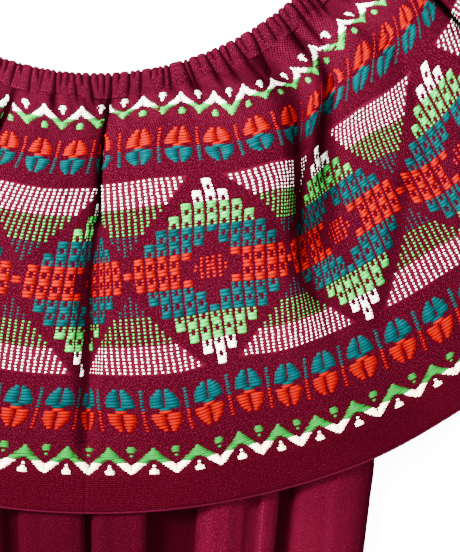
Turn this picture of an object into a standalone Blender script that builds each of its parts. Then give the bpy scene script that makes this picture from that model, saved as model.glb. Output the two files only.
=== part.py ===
"""An off-shoulder dress of hand-loomed cotton, laid flat on its back with its front up.

The neckline is an arc about a point above the dress, the arc centre. Angles are measured about that
point from straight down the dress, positive towards +X, and distances from it are radii. Every piece
is worked out in that frame and hangs from one empty, which sets the dress with the middle of its
outline over the origin and its underside on the ground. Sizes are metres.
"""
import math

import bmesh
import bpy

# Driving dimensions
NECK_RADIUS = 0.2046      # top edge of the gathered neck casing
SEAM_RADIUS = 0.2223      # casing to ruffle
HEM_RADIUS = 0.506        # lower edge of the ruffle
CASING_END = 64.0         # angle of the shoulder fold at the neckline
BODY_WIDTH = 0.380        # across the underarms, laid flat
BODY_TOP_ANGLE = 35.0     # the body's top edge is sewn to the casing up to this angle
UNDERARM_DEPTH = 0.330    # below the arc centre
DRESS_DEPTH = 1.090       # hem of the dress, below the arc centre
BAR = 0.030               # one repeat of the brocade's bars, along the ruffle's cloth

# Cloth walls and the gap between pieces
RUFFLE_WALL = 0.0014
BODY_WALL = 0.0012
SEAM_GAP = 0.0003

# Heights of the layers over the ground
BACK_CASING_TOP = 0.0030
FRONT_CASING_BED = BACK_CASING_TOP + SEAM_GAP
FRONT_CASING_TOP = 0.0084
RIB_HEIGHT = 0.0024
BACK_RIB_HEIGHT = 0.0006
RUFFLE_SEAM_HEIGHT = 0.0080
RUFFLE_HEM_HEIGHT = 0.0240     # where the hem lies over the body's folds
RUFFLE_FREE_HEIGHT = 0.0092    # where the hem hangs free beside the body
BODY_VALLEY = 0.0080           # lowest stretches between the body's folds
GROOVE_MOUTH = 0.0046
GROOVE_DEPTH = 0.0160
GROOVE_FLOOR = 0.0060          # a fold goes half way down to this height
PUFF = 0.0030                  # swelling of the cloth between two folds
GATHER = 0.0007                # height of the small gathers below the casing
GATHER_FADE = 0.05             # share of the way down over which they fade
SHALLOW_FOLD = 0.004           # a fold less deep than this has a narrower mouth
HEM_LIFT = 0.004               # the ruffle's hem draws in this much towards its sides
BACK_HEM_RISE = 0.003          # the back hem lies this far inside the front hem

# Angles, or radii for the bed, between which each change takes place
HEM_SINKS = (19.0, 28.0)       # the hem comes down from the body's folds
HEM_DRAWS_IN = (22.0, 34.0)
EDGE_FLATTENS = 7.0            # the ruffle comes down to the back's over this angle at its sides
EDGE_CALMS = (10.0, 3.0)       # swelling and gathers fade out between these angles from the edge
BED_EDGE = (0.5115, 0.533)     # the body's back comes down past the back ruffle's hem

RIBS = 70                      # gathers of each casing
SCALLOP = 0.0018               # how far a rib stands out at the neck edge

# How far down the ruffle each level lies, from the seam (0) to the hem (1)
LEVELS = {"seam": 0.0, "top": 0.129, "middle": 0.440, "low": 0.757, "hem": 1.0}

# Folds of the front ruffle. Each level gives the fold's angle and the brocade bars at its left and
# right lips: the cloth between those bars is tucked into the fold. The first and last rows are the
# side edges, where the front meets the back.
RUFFLE_FOLDS = {
    "left side": {"seam": (-64.0, -18.9, -18.9), "top": (-64.0, -18.9, -18.9),
                  "middle": (-60.0, -18.9, -18.9), "low": (-57.5, -18.9, -18.9),
                  "hem": (-55.5, -18.9, -18.9)},
    "far left": {"seam": (-48.0, -16.34, -15.64), "top": (-49.0, -16.20, -15.70),
                 "middle": (-49.0, -16.52, -16.02), "low": (-49.0, -16.75, -16.69),
                 "hem": (-47.0, -16.42, -16.42)},
    "left": {"seam": (-31.0, -12.76, -11.76), "top": (-32.0, -12.61, -11.81),
             "middle": (-33.0, -12.54, -11.79), "low": (-34.0, -12.79, -12.69),
             "hem": (-33.0, -12.51, -12.51)},
    "near left": {"seam": (-14.5, -8.96, -7.76), "top": (-15.5, -8.81, -7.81),
                  "middle": (-16.5, -8.20, -7.35), "low": (-17.5, -8.39, -8.27),
                  "hem": (-17.5, -8.19, -8.19)},
    "centre": {"seam": (2.2, -5.00, -2.40), "top": (0.8, -4.85, -2.42),
               "middle": (-0.5, -3.87, -2.79), "low": (-1.5, -4.00, -3.48),
               "hem": (-1.8, -3.75, -3.75)},
    "right": {"seam": (29.5, 2.20, 3.80), "top": (29.7, 2.41, 3.80),
              "middle": (24.3, 2.70, 3.25), "low": (22.9, 3.06, 3.06),
              "hem": (22.5, 3.10, 3.10)},
    "right overlap": {"seam": (39.5, 5.30, 5.90), "top": (38.2, 5.45, 5.73),
                      "middle": (28.5, 4.13, 4.13), "low": (27.0, 4.13, 4.13),
                      "hem": (26.3, 4.14, 4.14)},
    "far right": {"seam": (47.5, 6.60, 7.60), "top": (45.3, 6.79, 7.45),
                  "middle": (40.8, 6.95, 7.10), "low": (38.2, 7.01, 7.01),
                  "hem": (36.6, 7.00, 7.00)},
    "shoulder": {"seam": (58.5, 9.37, 11.30), "top": (57.5, 9.57, 11.08),
                 "middle": (53.0, 9.80, 10.64), "low": (50.0, 10.12, 10.12),
                 "hem": (48.0, 10.15, 10.15)},
    "right side": {"seam": (64.0, 12.2, 12.2), "top": (64.0, 12.2, 12.2),
                   "middle": (60.0, 12.2, 12.2), "low": (57.8, 12.2, 12.2),
                   "hem": (55.5, 12.2, 12.2)},
}

# Which way a fold's pocket slides under the neighbouring cloth, metres towards +X
FOLD_LEAN = {"far left": -0.003, "left": 0.003, "near left": -0.003, "centre": 0.003,
             "right": 0.003, "right overlap": 0.003, "far right": 0.002, "shoulder": 0.002}

# The billow of the ruffle over a straight line from seam to hem: share of the way down, height
BILLOW = ((0.00, 0.0), (0.05, 0.0050), (0.10, 0.0120), (0.18, 0.0200), (0.28, 0.0260),
          (0.40, 0.0285), (0.52, 0.0270), (0.65, 0.0215), (0.78, 0.0140), (0.90, 0.0055),
          (1.00, 0.0))
RUFFLE_ROWS = (0.0, 0.045, 0.10, 0.16, 0.23, 0.31, 0.40, 0.50, 0.60, 0.70, 0.80, 0.90, 1.0)
BACK_RUFFLE_ROWS = (0.0, 0.129, 0.44, 0.75, 1.0)
IN_FOLD_SHARES = (0.0, 0.2, 0.42, 0.58, 0.8)
COLUMNS_PER_BAR = 2.0
BACK_RUFFLE_COLUMNS = 44

# Vertical folds of the body's front at the underarms, in metres across the dress
BODY_FOLD_COLUMNS = ("left_foot", "left_crest", "right_crest", "right_foot",
                     "height", "left_lean", "right_lean", "valley")
BODY_FOLDS = (
    (-0.1900, -0.1770, -0.1460, -0.1280, 0.0175, 0.0, 0.0, 0.0080),
    (-0.1160, -0.1080, -0.0680, -0.0520, 0.0190, 0.0025, 0.0, 0.0085),
    (-0.0450, -0.0360, -0.0130, -0.0065, 0.0188, 0.0, 0.0, 0.0090),
    (-0.0045, 0.0020, 0.0315, 0.0360, 0.0200, 0.0, 0.0035, 0.0080),
    (0.0430, 0.0800, 0.0960, 0.1080, 0.0185, 0.0, 0.0, 0.0150),
    (0.1100, 0.1150, 0.1215, 0.1262, 0.0163, 0.0, 0.0025, 0.0080),
    (0.1320, 0.1460, 0.1680, 0.1900, 0.0185, 0.0, 0.0, 0.0080),
)

# Half width of the body and how far its rows bend round the arc centre, by depth below that centre
BODY_ROW_COLUMNS = ("depth", "half_width", "bend", "relief")
BODY_ROWS = (
    (0.400, 0.1900, 1.0, 0.70),
    (0.455, 0.1902, 1.0, 0.92),
    (0.512, 0.1880, 1.0, 1.00),
    (0.534, 0.1855, 1.0, 1.00),
    (0.580, 0.1790, 0.7, 0.98),
    (0.640, 0.1760, 0.4, 0.96),
    (0.700, 0.1840, 0.2, 0.96),
    (0.780, 0.2020, 0.1, 0.98),
    (0.870, 0.2300, 0.0, 1.00),
    (0.960, 0.2580, 0.0, 1.08),
    (DRESS_DEPTH, 0.2950, 0.0, 1.15),
)
BODY_TOP_ROWS = (0.0, 0.3, 0.65)   # rows between the top edge and the first full row
ARMHOLE_START = 0.72               # share of the half width where the armhole begins
ARMHOLE_CURVE = (1.4, 0.8)         # powers that bend the armhole outwards and downwards
BACK_BODY_COLUMNS = 22
FLANK_SHARE = 0.35                 # a point on a fold's flank: share of the way from foot to crest
FLANK_RISE = 0.55
CREST_RISE = 0.93


def clamp(value, low=0.0, high=1.0):
    return max(low, min(high, value))


def smooth(low, high, value):
    share = clamp((value - low) / (high - low))
    return share * share * (3 - 2 * share)


def mix(start, end, share):
    return start + (end - start) * share


def slope_at(table, number):
    """The slope of a smooth curve where it passes a row of its table."""
    before = max(number - 1, 0)
    after = min(number + 1, len(table) - 1)
    return (table[after][1] - table[before][1]) / (table[after][0] - table[before][0])


def along(table, value):
    """A smooth curve through the rows (position, amount) of a table."""
    number = 0
    while number < len(table) - 2 and value > table[number + 1][0]:
        number += 1
    (p0, a0), (p1, a1) = table[number], table[number + 1]
    width = p1 - p0
    share = clamp((value - p0) / width)
    bend_in = slope_at(table, number) * width - (a1 - a0)
    bend_out = (a1 - a0) - slope_at(table, number + 1) * width
    return mix(a0, a1, share) + share * (1 - share) * mix(bend_in, bend_out, share)


def polar(angle, radius, height):
    turn = math.radians(angle)
    return (radius * math.sin(turn), -radius * math.cos(turn), height)


def fold_at(name, down):
    """The angle and lip bars of a ruffle fold at a share of the way down."""
    levels = RUFFLE_FOLDS[name]
    return [along([(LEVELS[key], levels[key][i]) for key in LEVELS], down) for i in range(3)]


def ruffle_columns():
    """Each column of the ruffle as (fold, next fold, share), or (fold, None, share) in a fold."""
    names = list(RUFFLE_FOLDS)
    columns = []
    for name, follower in zip(names, names[1:]):
        if name != names[0]:
            columns += [(name, None, share) for share in IN_FOLD_SHARES]
        level = fold_at(name, 0.4)
        width = fold_at(follower, 0.4)[1] - level[2]
        pieces = max(2, round(width * COLUMNS_PER_BAR))
        columns += [(name, follower, i / pieces) for i in range(pieces)]
    columns.append((names[-2], names[-1], 1.0))
    return columns


def hem_height(angle):
    """The ruffle's hem lies on the body's folds, and sinks towards the ground beside the body."""
    return mix(RUFFLE_HEM_HEIGHT, RUFFLE_FREE_HEIGHT, smooth(*HEM_SINKS, abs(angle)))


def ruffle_height(angle, down):
    """Top of the front ruffle between its folds."""
    straight = mix(RUFFLE_SEAM_HEIGHT, hem_height(angle), down)
    height = straight + along(BILLOW, down)
    edge = side_angle(angle, down)
    closed = 2 * RUFFLE_WALL + SEAM_GAP
    return mix(height, closed, smooth(edge - EDGE_FLATTENS, edge, abs(angle)))


def hem_radius(angle):
    return HEM_RADIUS - HEM_LIFT * smooth(*HEM_DRAWS_IN, abs(angle))


def ruffle_radius(angle, down):
    return mix(SEAM_RADIUS + SEAM_GAP / 2, hem_radius(angle), down)


def side_angle(angle, down):
    """Angle of the side edge on the same side as an angle."""
    return abs(fold_at("right side" if angle > 0 else "left side", down)[0])


def groove(level, height, radius):
    """Depth of a fold, and half the angle across its mouth."""
    tucked = (level[2] - level[1]) * BAR
    depth = min(tucked / 2, GROOVE_DEPTH, 0.5 * max(0.0, height - GROOVE_FLOOR))
    return depth, math.degrees(GROOVE_MOUTH / radius / 2) * mix(0.5, 1.0, clamp(depth / SHALLOW_FOLD))


def ruffle_point(number, columns, down):
    name, follower, share = columns[number]
    level = fold_at(name, down)
    angle = level[0]
    radius = ruffle_radius(angle, down)
    height = ruffle_height(angle, down)
    depth, mouth = groove(level, height, radius)
    if follower is None:
        drop = math.sin(math.pi * share) ** 0.6
        lean = math.degrees(FOLD_LEAN[name] / radius) * drop * depth / GROOVE_DEPTH
        angle += 2 * mouth * (share - 0.5) + lean
        return polar(angle, ruffle_radius(angle, down), height - depth * drop)
    next_level = fold_at(follower, down)
    start = angle + mouth
    end = next_level[0] - groove(next_level, height, radius)[1]
    angle = mix(start, end, share)
    edge = side_angle(angle, down)
    inside = 1 - smooth(edge - EDGE_CALMS[0], edge - EDGE_CALMS[1], abs(angle))
    puff = PUFF * clamp((end - start) / 12.0) * math.sin(math.pi * share) * (1 - down ** 3)
    gather = GATHER * (-1) ** number * math.exp(-down / GATHER_FADE)
    height = ruffle_height(angle, down) + inside * (puff + gather)
    return polar(angle, ruffle_radius(angle, down), height)


def body_columns():
    """Points across the body's front: (place, share of relief, height above the valleys)."""
    columns = []
    valley = BODY_FOLDS[0][7]
    for number, row in enumerate(BODY_FOLDS):
        fold = dict(zip(BODY_FOLD_COLUMNS, row))
        rise = fold["height"]
        middle = (fold["left_crest"] + fold["right_crest"]) / 2
        flank_in = mix(fold["left_foot"], fold["left_crest"], FLANK_SHARE)
        flank_out = mix(fold["right_foot"], fold["right_crest"], FLANK_SHARE)
        columns += [
            (fold["left_foot"] + fold["left_lean"], valley),
            (flank_in, mix(valley, rise, FLANK_RISE)),
            (fold["left_crest"], mix(valley, rise, CREST_RISE)),
            (middle, rise),
            (fold["right_crest"], mix(fold["valley"], rise, CREST_RISE)),
            (flank_out, mix(fold["valley"], rise, FLANK_RISE)),
            (fold["right_foot"] - fold["right_lean"], fold["valley"]),
        ]
        valley = fold["valley"]
    return columns


def top_edge(across):
    """The body's top edge: along the casing, then down the armhole to the underarm."""
    side = 1 if across >= 0 else -1
    share = abs(across)
    radius = SEAM_RADIUS + SEAM_GAP / 2
    if share <= ARMHOLE_START:
        x, y, _ = polar(BODY_TOP_ANGLE * share / ARMHOLE_START, radius, 0)
        return side * x, y
    start_x, start_y, _ = polar(BODY_TOP_ANGLE, radius, 0)
    turn = (share - ARMHOLE_START) / (1 - ARMHOLE_START)
    x = mix(start_x, BODY_WIDTH / 2, turn ** ARMHOLE_CURVE[0])
    y = mix(start_y, -UNDERARM_DEPTH, turn ** ARMHOLE_CURVE[1])
    return side * x, y


def row_place(across, row):
    """A point on one full row of the body: a row bends round the arc centre or runs straight."""
    x = across * row["half_width"]
    bent = -math.sqrt(row["depth"] ** 2 - x * x)
    return x, mix(-row["depth"], bent, row["bend"])


def body_place(across, line):
    """Plan position and relief on a line of the body, the top edge being line 0."""
    first = dict(zip(BODY_ROW_COLUMNS, BODY_ROWS[0]))
    tops = len(BODY_TOP_ROWS)
    if line < tops:
        share = BODY_TOP_ROWS[line]
        start = top_edge(across)
        end = row_place(across, first)
        return mix(start[0], end[0], share), mix(start[1], end[1], share), mix(0.0, first["relief"], share)
    row = dict(zip(BODY_ROW_COLUMNS, BODY_ROWS[line - tops]))
    return (*row_place(across, row), row["relief"])


def back_bed(x, y):
    """How high the body's back lies: over the ruffle's back, and on the ground below it."""
    over = RUFFLE_WALL + SEAM_GAP
    return mix(over, 0.0, smooth(*BED_EDGE, math.hypot(x, y)))


def body_front_point(column, line):
    place, height = body_columns()[column]
    across = place / (BODY_WIDTH / 2)
    x, y, relief = body_place(across, line)
    bed = back_bed(x, y) + 2 * BODY_WALL + SEAM_GAP
    fold = (height - BODY_VALLEY) * relief
    lift = mix(0.0, BODY_VALLEY - 2 * BODY_WALL - SEAM_GAP, relief)
    at_edge = column in (0, len(body_columns()) - 1)
    return (x, y, bed if at_edge else bed + lift + max(0.0, fold))


def body_back_point(across, line):
    x, y, _ = body_place(across, line)
    return (x, y, back_bed(x, y) + BODY_WALL)


def material(name, colour, roughness):
    made = bpy.data.materials.new(name)
    made.use_nodes = True
    shader = made.node_tree.nodes["Principled BSDF"]
    shader.inputs["Base Color"].default_value = (*colour, 1.0)
    shader.inputs["Roughness"].default_value = roughness
    shader.inputs["Metallic"].default_value = 0.0
    return made


def add_object(name, bm, cloth, dress, hanger):
    mesh = bpy.data.meshes.new(name)
    bm.to_mesh(mesh)
    bm.free()
    made = bpy.data.objects.new(name, mesh)
    dress.objects.link(made)
    made.parent = hanger
    mesh.materials.append(cloth)
    return made


def cloth_wall(name, columns, rows, place, wall, cloth, dress, hanger):
    """A sheet of cloth: a grid whose points follow place(column, row), given a wall below."""
    bm = bmesh.new()
    bmesh.ops.create_grid(bm, x_segments=columns, y_segments=rows, size=1.0)
    for vert in bm.verts:
        column = round((vert.co.x + 1) / 2 * columns)
        row = round((vert.co.y + 1) / 2 * rows)
        vert.co = place(column, row)
    made = add_object(name, bm, cloth, dress, hanger)
    thick = made.modifiers.new("wall", "SOLIDIFY")
    thick.thickness = wall
    thick.offset = -1.0
    return made


def ruffle_front(cloth, dress, hanger):
    columns = ruffle_columns()
    rows = RUFFLE_ROWS[::-1]

    def place(column, row):
        return ruffle_point(column, columns, rows[row])

    return cloth_wall("ruffle_front", len(columns) - 1, len(rows) - 1, place, RUFFLE_WALL,
                      cloth, dress, hanger)


def ruffle_back(cloth, dress, hanger):
    columns = BACK_RUFFLE_COLUMNS
    rows = BACK_RUFFLE_ROWS[::-1]

    def place(column, row):
        down = rows[row]
        left = fold_at("left side", down)[0]
        right = fold_at("right side", down)[0]
        angle = mix(left, right, column / columns)
        return polar(angle, ruffle_radius(angle, down) - BACK_HEM_RISE * down, RUFFLE_WALL)

    return cloth_wall("ruffle_back", columns, len(rows) - 1, place, RUFFLE_WALL, cloth, dress, hanger)


def body_front(cloth, dress, hanger):
    columns = len(body_columns()) - 1
    lines = len(BODY_TOP_ROWS) + len(BODY_ROWS) - 1

    def place(column, row):
        return body_front_point(column, lines - row)

    return cloth_wall("body_front", columns, lines, place, BODY_WALL, cloth, dress, hanger)


def body_back(cloth, dress, hanger):
    columns = BACK_BODY_COLUMNS
    lines = len(BODY_TOP_ROWS) + len(BODY_ROWS) - 1

    def place(column, row):
        return body_back_point(2 * column / columns - 1, lines - row)

    return cloth_wall("body_back", columns, lines, place, BODY_WALL, cloth, dress, hanger)


def casing(name, bed, top, rib, cloth, dress, hanger):
    """Half of the neck casing: a flat tube round its elastic, its upper side gathered into ribs."""
    steps = 2 * RIBS
    inner = NECK_RADIUS
    outer = SEAM_RADIUS - SEAM_GAP / 2
    side = (top - bed) / 2
    # One turn of the tube's section: share from the neck edge to the seam, height, share of the rib
    section = ((0.0, bed + side, 1.0), (0.10, bed, 0.0), (0.92, bed, 0.0), (1.0, bed + side, 0.0),
               (0.90, top - 0.0006, 0.5), (0.55, top, 1.0), (0.12, top - 0.0004, 0.9))
    turns = len(section)
    bm = bmesh.new()
    bmesh.ops.create_grid(bm, x_segments=steps, y_segments=turns, size=1.0)
    for vert in bm.verts:
        column = round((vert.co.x + 1) / 2 * steps)
        share, height, ribbed = section[round((vert.co.y + 1) / 2 * turns) % turns]
        angle = mix(-CASING_END, CASING_END, column / steps)
        crest = 1 if column % 2 else 0
        uneven = 0.75 + 0.25 * math.sin(2.4 * column) * math.cos(0.9 * column)
        scallop = SCALLOP * crest * uneven if share < 0.05 else 0.0
        reach = mix(inner, outer, share) - scallop
        lift = rib * ribbed * crest * uneven if height > bed + side / 2 and share > 0.05 else 0.0
        vert.co = polar(angle, reach, height + lift)
    bmesh.ops.remove_doubles(bm, verts=bm.verts, dist=0.00001)
    bmesh.ops.holes_fill(bm, edges=[edge for edge in bm.edges if edge.is_boundary], sides=turns)
    bmesh.ops.recalc_face_normals(bm, faces=bm.faces)
    return add_object(name, bm, cloth, dress, hanger)


def main():
    for old in list(bpy.data.objects):
        bpy.data.objects.remove(old, do_unlink=True)
    dress = bpy.data.collections.new("embroidered_dress")
    bpy.context.scene.collection.children.link(dress)
    hanger = bpy.data.objects.new("dress", None)
    dress.objects.link(hanger)
    highest = -(NECK_RADIUS - SCALLOP) * math.cos(math.radians(CASING_END))
    hanger.location = (0.0, (DRESS_DEPTH - highest) / 2, 0.0)

    brocade = material("brocaded cotton", (0.165, 0.007, 0.035), 0.85)
    plain = material("plain cotton", (0.190, 0.008, 0.038), 0.85)
    gathered = material("gathered cotton", (0.165, 0.007, 0.035), 0.85)

    ruffle_back(brocade, dress, hanger)
    casing("casing_back", 0.0, BACK_CASING_TOP - BACK_RIB_HEIGHT, BACK_RIB_HEIGHT, gathered, dress, hanger)
    body_back(plain, dress, hanger)
    body_front(plain, dress, hanger)
    casing("casing_front", FRONT_CASING_BED, FRONT_CASING_TOP, RIB_HEIGHT, gathered, dress, hanger)
    ruffle_front(brocade, dress, hanger)


main()
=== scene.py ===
import math

import bmesh
import bpy
import numpy as np
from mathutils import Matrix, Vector


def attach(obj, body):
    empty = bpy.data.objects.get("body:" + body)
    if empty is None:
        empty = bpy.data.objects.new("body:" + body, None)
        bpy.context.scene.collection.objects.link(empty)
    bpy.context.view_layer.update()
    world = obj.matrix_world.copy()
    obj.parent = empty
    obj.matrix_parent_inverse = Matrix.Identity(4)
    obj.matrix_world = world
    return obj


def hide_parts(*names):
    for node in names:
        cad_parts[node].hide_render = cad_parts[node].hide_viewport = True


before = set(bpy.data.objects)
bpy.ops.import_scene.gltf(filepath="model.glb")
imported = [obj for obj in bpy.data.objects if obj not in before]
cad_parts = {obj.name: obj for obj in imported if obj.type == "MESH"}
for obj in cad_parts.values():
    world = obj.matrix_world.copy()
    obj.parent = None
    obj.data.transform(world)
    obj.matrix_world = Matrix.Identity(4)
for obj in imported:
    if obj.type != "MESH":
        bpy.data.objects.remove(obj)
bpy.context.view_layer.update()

# Sizes of the dress
CAD_NECK_RADIUS = 0.2046  # neck edge of the part's casing
CAD_SCALLOP = 0.0018  # how far its gathers reach in from there
NECK_RADIUS = 0.2030  # neck edge of the finished casing
SEAM_RADIUS = 0.2200  # casing to ruffle
HEM_RADIUS = 0.506  # lower edge of the ruffle
CASING_END = 64.0  # angle of the shoulder fold at the neckline
BODY_WIDTH = 0.380  # across the underarms
BODY_TOP_ANGLE = 35.0  # the body's top edge is sewn to the casing up to this angle
UNDERARM_DEPTH = 0.330  # below the arc centre
DRESS_DEPTH = 1.090  # hem of the dress, below the arc centre
BAR = 0.030  # one repeat of the brocade's bars, along the ruffle's cloth
RUFFLE_DEPTH = HEM_RADIUS - SEAM_RADIUS

# The arc centre lies so far up that the middle of the part's outline is over the origin
NECK_TOP = (CAD_NECK_RADIUS - CAD_SCALLOP) * math.cos(math.radians(CASING_END))
CENTRE_Y = round((DRESS_DEPTH + NECK_TOP) / 2, 5)

# Walls of the part, the gap between its pieces, and the cloth of the finished pieces
RUFFLE_WALL = 0.0014
BODY_WALL = 0.0012
SEAM_GAP = 0.0003
FRONT_RUFFLE_CLOTH = 0.0008
BACK_RUFFLE_CLOTH = 0.0009
FRONT_BODY_CLOTH = 0.0008
CASING_CLOTH = 0.0005

# Heights of the layers over the ground
BACK_CLOTH_BASE = 0.0004  # lower face of the back ruffle's cloth
BACK_CASING_TOP = 0.0030
FRONT_CASING_BED = BACK_CASING_TOP + SEAM_GAP
FRONT_CASING_TOP = 0.0084
CASING_PROUD = 0.0012  # the finished front casing stands so much higher than the part's
RUFFLE_SEAM_HEIGHT = 0.0080
RUFFLE_HEM_HEIGHT = 0.0240  # where the hem lies over the body's folds
RUFFLE_FREE_HEIGHT = 0.0092  # where the hem hangs free beside the body
BODY_VALLEY = 0.0080  # lowest stretches between the body's folds

# Folds and hem of the ruffle
GROOVE_MOUTH = 0.0046  # width of a closed fold's mouth
GROOVE_DEPTH = 0.0160  # deepest fold
GROOVE_FLOOR = 0.0060  # a fold goes half way down to this height
PUFF = 0.0030  # swelling of the cloth between two folds
HEM_LIFT = 0.004  # the hem draws in this much towards its sides
HEM_DRAWS_IN = (22.0, 34.0)  # between these angles
HEM_SINKS = (19.0, 28.0)  # the hem comes down from the body's folds between these angles
EDGE_FLATTENS = 7.0  # the front comes down to the back over this angle at the sides
EDGE_CALMS = (10.0, 3.0)  # swelling and gathers fade out between these angles from the side
BACK_HEM_RISE = 0.003  # the back hem lies this far inside the front hem
BACK_DENT = 0.0006  # height of a fold that is pressed flat in the back ruffle

# How the ruffle's cloth is divided
FIRST_BAR, LAST_BAR = -18.9, 12.2  # bars at its two side edges
LIP_EASE = 0.035  # columns at a fold keep this much, in bars, from its lips
TUCK = 0.0016  # it goes on into the casing this far, and the front one sinks so much
TUCK_SINKS = 0.0007
COLUMNS_COUNTED_AT = 0.4  # share of the way down where its columns are counted
UNDER_LIP = (0.0, 0.0018, 0.0027, 0.0036, 0.0047)  # rows of cloth that dip under the casing
NEAR_FROM = 0.0070  # the next row below them
FINE_FROM = 0.09  # the cloth above this share of the way down has twice as many columns

# How far down the ruffle each level lies, from the seam (0) to the hem (1)
LEVELS = (0, 0.129, 0.28, 0.44, 0.757, 0.9)

# Folds of the ruffle at those levels: angle, and the brocade bars at the left and right lips
FOLDS = {
    "left side": [(angle, FIRST_BAR, FIRST_BAR) for angle in (-64, -64, -62.2, -60, -57.5, -55.5)],
    "far left": ((-48, -16.34, -15.64), (-49, -16.2, -15.7), (-49, -16.36, -15.86),
                 (-49, -16.52, -16.02), (-49, -16.75, -16.69), (-47, -16.42, -16.42)),
    "left": ((-31, -12.76, -11.76), (-32, -12.61, -11.81), (-32.5, -12.58, -11.8),
             (-33, -12.54, -11.79), (-34, -12.79, -12.69), (-33, -12.51, -12.51)),
    "near left": ((-14.5, -8.3, -7.1), (-15.5, -8.81, -7.81), (-16, -8.52, -7.58),
                  (-16.5, -8.3, -7.45), (-17.5, -8.39, -8.27), (-17.5, -8.19, -8.19)),
    "centre": ((2.2, -4.9, -2.4), (0.8, -4.85, -2.42), (0.4, -4.6, -2.45),
               (0.1, -4.8, -2.3), (-0.9, -4.1, -3.13), (-0.8, -3.62, -3.5)),
    "right": ((30, 2.05, 3.6), (32, 2.08, 3.72), (27.5, 2.1, 3.45),
              (23.8, 2.28, 2.8), (22.9, 3.06, 3.06), (22.5, 3.1, 3.1)),
    "right overlap": ((37.6, 4.2, 4.7), (38.2, 4.15, 4.6), (31.6, 4.22, 4.45),
                      (28.5, 4.13, 4.13), (27, 4.13, 4.13), (26.3, 4.14, 4.14)),
    "far right": ((45.4, 5.55, 6.4), (46.9, 5.52, 6.25), (45.6, 7.4, 7.6),
                  (40.8, 6.95, 7.1), (38.2, 7.01, 7.01), (36.6, 7, 7)),
    "shoulder": ((58.5, 8.3, 11.3), (57.5, 8.45, 11.2), (55.5, 9.2, 10.9),
                 (53, 9.8, 10.64), (50, 10.12, 10.12), (48, 10.15, 10.15)),
    "right side": [(angle, LAST_BAR, LAST_BAR) for angle in (64, 64, 62.2, 60, 57.8, 55.5)],
}
# Each fold's pocket slides this far under the cloth on its right, and has a soft trough round it
LEANS = np.array((0, -0.003, 0.003, -0.003, 0.003, 0.003, 0.003, 0.002, 0.002, 0))
TROUGH_DEPTHS = np.array((0, 0.003, 0.003, 0.003, 0.0028, 0.0048, 0.0044, 0.0014, 0.003, 0))
TROUGH_WIDTHS = np.array((0.01, 0.008, 0.008, 0.008, 0.006, 0.011, 0.0065, 0.010, 0.008, 0.01))

# The middle panel's cloth crowds towards the fold on its right, most half way down: a push by share of
# the way across, how much of it by share of the way down, and a push of the panel's middle
CENTRE_PANEL = list(FOLDS).index("right")
PUSHED_RIGHT = ((0, 0), (0.14, 0.006), (0.5, 0.04), (0.7, 0.057), (0.87, 0.066), (1, 0))
PUSHED_AT = ((0, 0), (0.129, 0), (0.22, 0.15), (0.32, 0.8), (0.44, 1), (0.68, 0.3), (0.8, 0), (1, 0))
PUSHED_MIDDLE = (
    (0, 0.05), (0.06, 0.045), (0.129, 0), (0.28, 0), (0.44, -0.012), (0.6, 0), (0.757, 0.024), (1, 0.02),
)

# The billow of the ruffle over a straight line from seam to hem: share of the way down, height
BILLOW = (
    (0, 0), (0.02, 0.0008), (0.05, 0.0042), (0.1, 0.0116), (0.18, 0.02), (0.28, 0.026), (0.4, 0.0285),
    (0.52, 0.027), (0.65, 0.0215), (0.78, 0.014), (0.9, 0.0055), (1, 0),
)

# How far the rows of brocade sag below a true arc, by bar: near the casing, half way down, and low
SAG_TOP = (
    (-18.9, 0.007), (-9.5, 0.005), (-7, 0.0055), (-6, 0.006), (-5, 0.004), (-2.1, 0.001), (-1.2, 0),
    (-0.1, 0.0045), (0.5, 0.009), (1, 0.011), (1.5, 0.0125), (2, 0.0155), (2.5, 0.0178), (3, 0.0192),
    (3.5, 0.019), (4, 0.016), (4.5, 0.0134), (5, 0.0136), (5.5, 0.0136), (6, 0.015), (6.5, 0.0164),
    (7.5, 0.0178), (8, 0.0185), (12.2, 0.012),
)
SAG_MIDDLE = (
    (-18.9, 0.004), (-6.3, 0.003), (-4.6, 0.0024), (-2, -0.0017), (0.1, 0), (2, 0.01), (4, 0.008),
    (5.9, 0.008), (6.8, 0.016), (8, 0.017), (12.2, 0.006),
)
SAG_LOW = (
    (-18.9, 0), (-5.5, -0.002), (-4, -0.003), (-3, -0.0022), (-2, 0), (-1, 0.001), (0, -0.003),
    (0.5, -0.003), (1.5, 0.0005), (2.5, 0.001), (3.5, 0.002), (4.5, 0.005), (5.5, 0.007), (12.2, 0.007),
)
# Where the sag changes from top to middle, from middle to low, and where it ends at the hem
SAG_TOP_ENDS = (0.18, 0.42)
SAG_MIDDLE_ENDS = (0.44, 0.757)
SAG_LOW_ENDS = (0.80, 1.0)
# How far the high zigzag is drawn up, as a share of its most, by bar
DRAWN_UP = (
    (-18.9, 0.4), (-5, 0.5), (-2.4, 1), (-1, 0.8), (0, 0.6), (1, 0), (1.6, 0.6), (2, 1), (3, 0.8), (4, 0),
    (5, 0), (6, 0.8), (7, 0.5), (12.2, 0.5),
)
DRAWN_UP_MOST = 0.0052
DRAWN_UP_AT = 0.065  # share of the way down, and how far it reaches from there
DRAWN_UP_REACH = 0.03

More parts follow.
